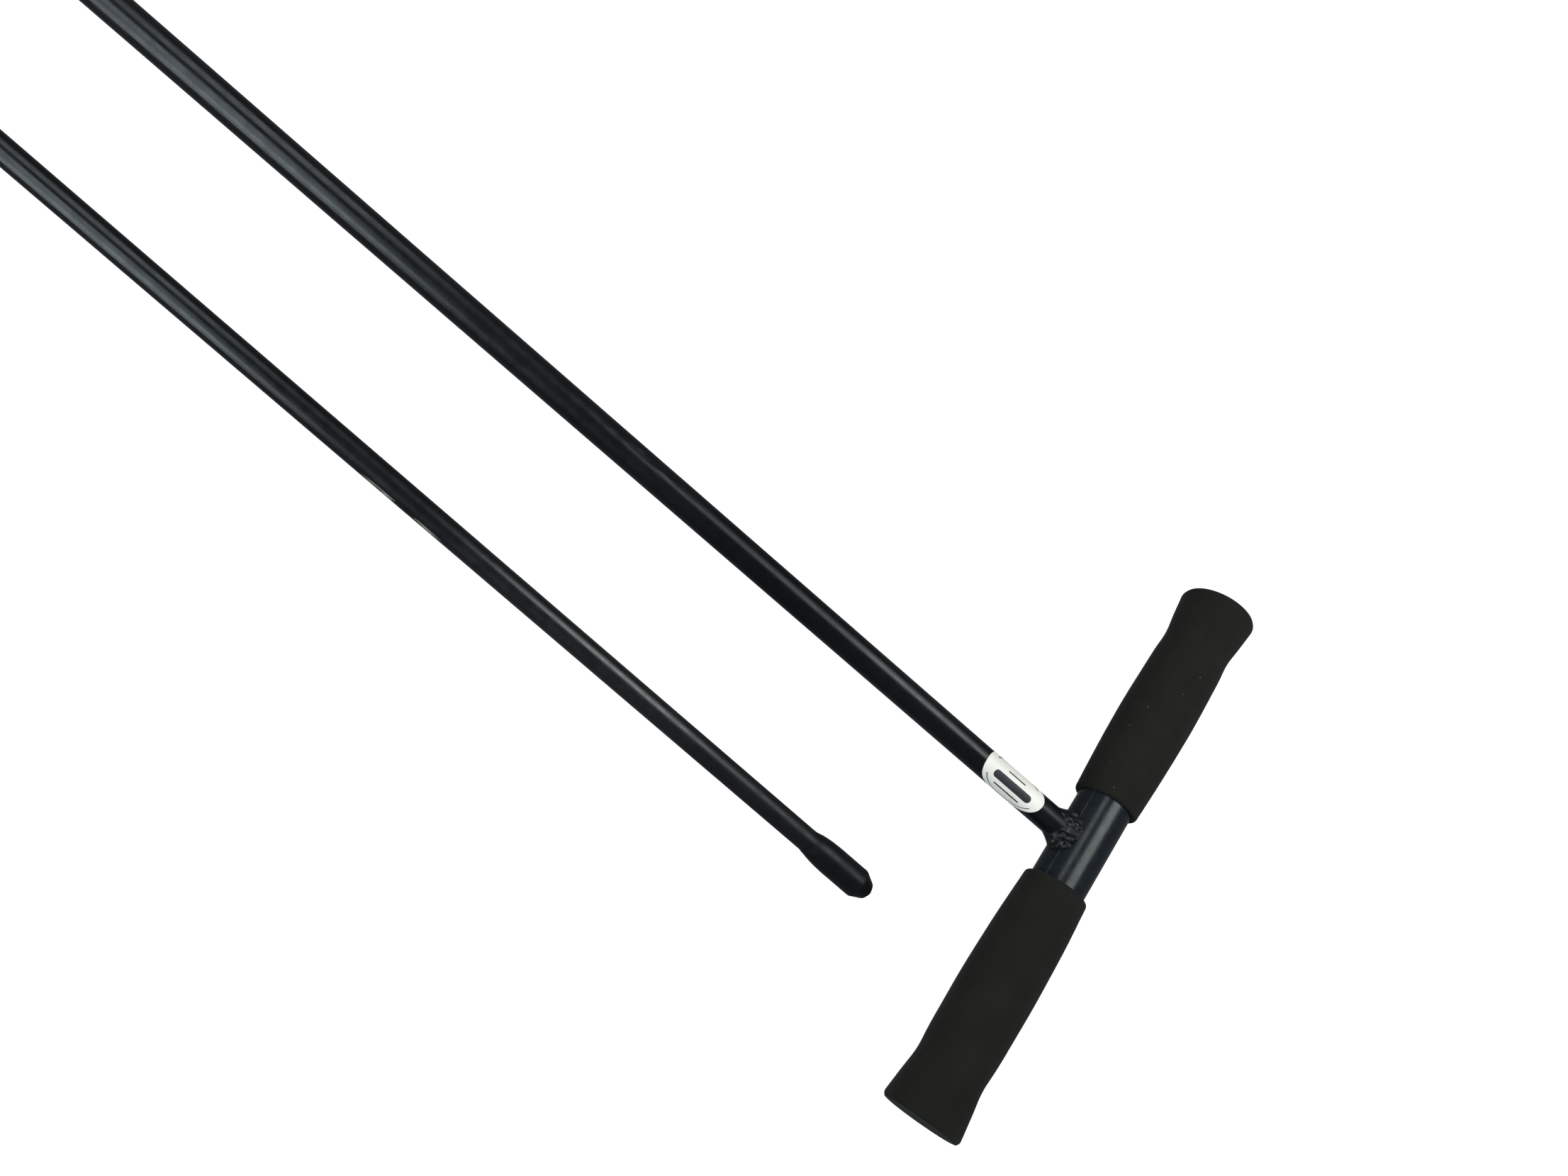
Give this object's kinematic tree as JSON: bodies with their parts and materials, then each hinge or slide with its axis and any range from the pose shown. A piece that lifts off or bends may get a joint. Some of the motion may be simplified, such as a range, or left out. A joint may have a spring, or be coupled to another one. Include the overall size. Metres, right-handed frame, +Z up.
{
  "type": "soil probe",
  "caption": "Take-apart T-handle soil probe: a thin shaft with foam grips, and a separate rod with a bulb-shaped probing tip that plugs into it.",
  "frame": {"origin": "on the surface the probe lies on, under the middle of its footprint", "axes": "+X along the sections towards the handle, +Y along the cross tube, +Z up from the surface"},
  "size_m": [0.7344, 0.2992, 0.0399],
  "materials": {
    "powder_coat": "satin black powder coat, slightly blue",
    "tube_paint": "semi-gloss blue-black paint",
    "grip_foam": "matte closed-cell foam with fine specks",
    "label_film": "off-white self-adhesive film",
    "bare_steel": "zinc plated",
    "spring_steel": "drawn wire",
    "seal_rubber": "black nitrile"
  },
  "bodies": {
    "handle_section": {"cross_tube": "tube_paint", "shaft_tube": "powder_coat", "tee_weld": "powder_coat", "grip_near": "grip_foam", "grip_far": "grip_foam", "label": "label_film", "socket_collar": "powder_coat", "collar_weld": "powder_coat"},
    "coupling_sleeve": {"coupling_sleeve": "powder_coat", "sleeve_o_ring": "seal_rubber"},
    "lower_section": {"probe_rod": "powder_coat", "probe_tip": "powder_coat", "thrust_collar": "powder_coat", "thrust_collar_pin": "bare_steel", "button_spring": "spring_steel", "button_retainer": "bare_steel"},
    "lock_button": {"lock_button": "bare_steel"}
  },
  "joints": [
    {"name": "section_turn", "type": "hinge", "parent": "handle_section", "child": "coupling_sleeve", "pos_m": [-0.33472, -0.03453, 0.01351], "axis": [0, 0, -1], "range_deg": [0, 178.83]},
    {"name": "section_plug", "type": "slide", "parent": "coupling_sleeve", "child": "lower_section", "axis": [-0.9997, 0.0205, 0.0099], "range_m": [0, 0.054]},
    {"name": "button_press", "type": "slide", "parent": "lower_section", "child": "lock_button", "axis": [0.0099, -0.0002, 1], "range_m": [-0.0022, 0], "stiffness_N_per_m": 1200, "springref_m": 0.001, "deforming": ["button_spring"]}
  ]
}
